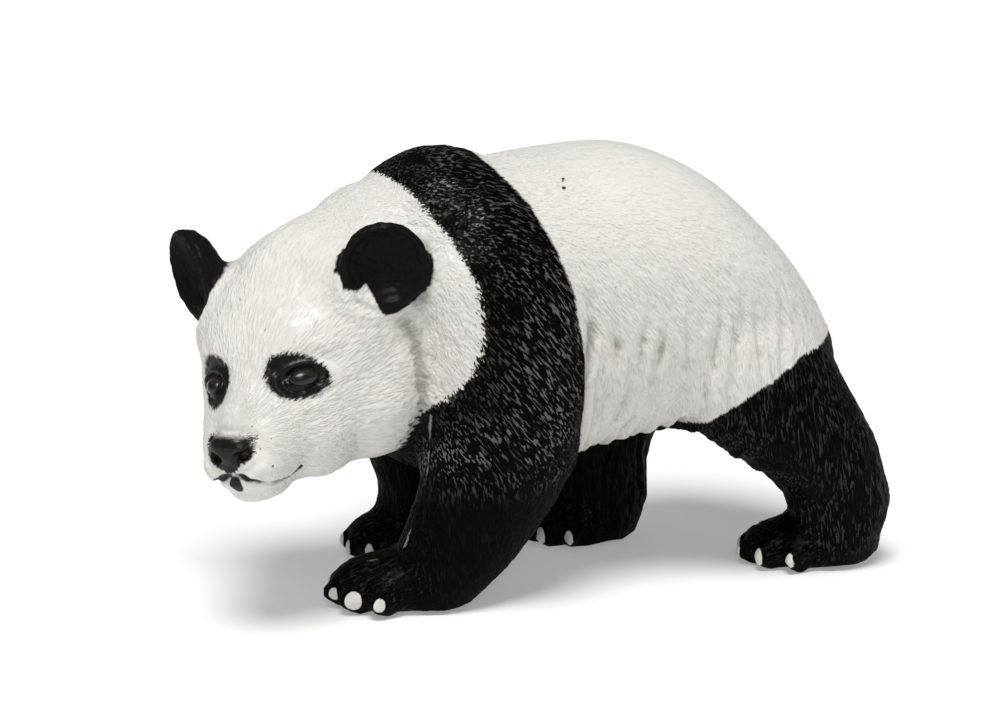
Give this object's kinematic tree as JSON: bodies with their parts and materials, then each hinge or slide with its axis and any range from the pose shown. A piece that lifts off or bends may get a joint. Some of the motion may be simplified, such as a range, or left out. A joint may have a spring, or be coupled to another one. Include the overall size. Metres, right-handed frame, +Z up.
{
  "type": "animal figurine",
  "caption": "Giant panda toy figurine walking on all fours with its head turned to its left, moulded in one piece of painted vinyl with carved fur.",
  "frame": {"origin": "on the ground, under the middle of the whole figure", "axes": "+Z up, the panda faces -Y, its left side is +X"},
  "size_m": [0.04, 0.0872, 0.0535],
  "materials": {
    "painted_vinyl": "satin white and glossy black paint on moulded vinyl"
  },
  "bodies": {
    "root": {"panda": "painted_vinyl"}
  },
  "joints": []
}
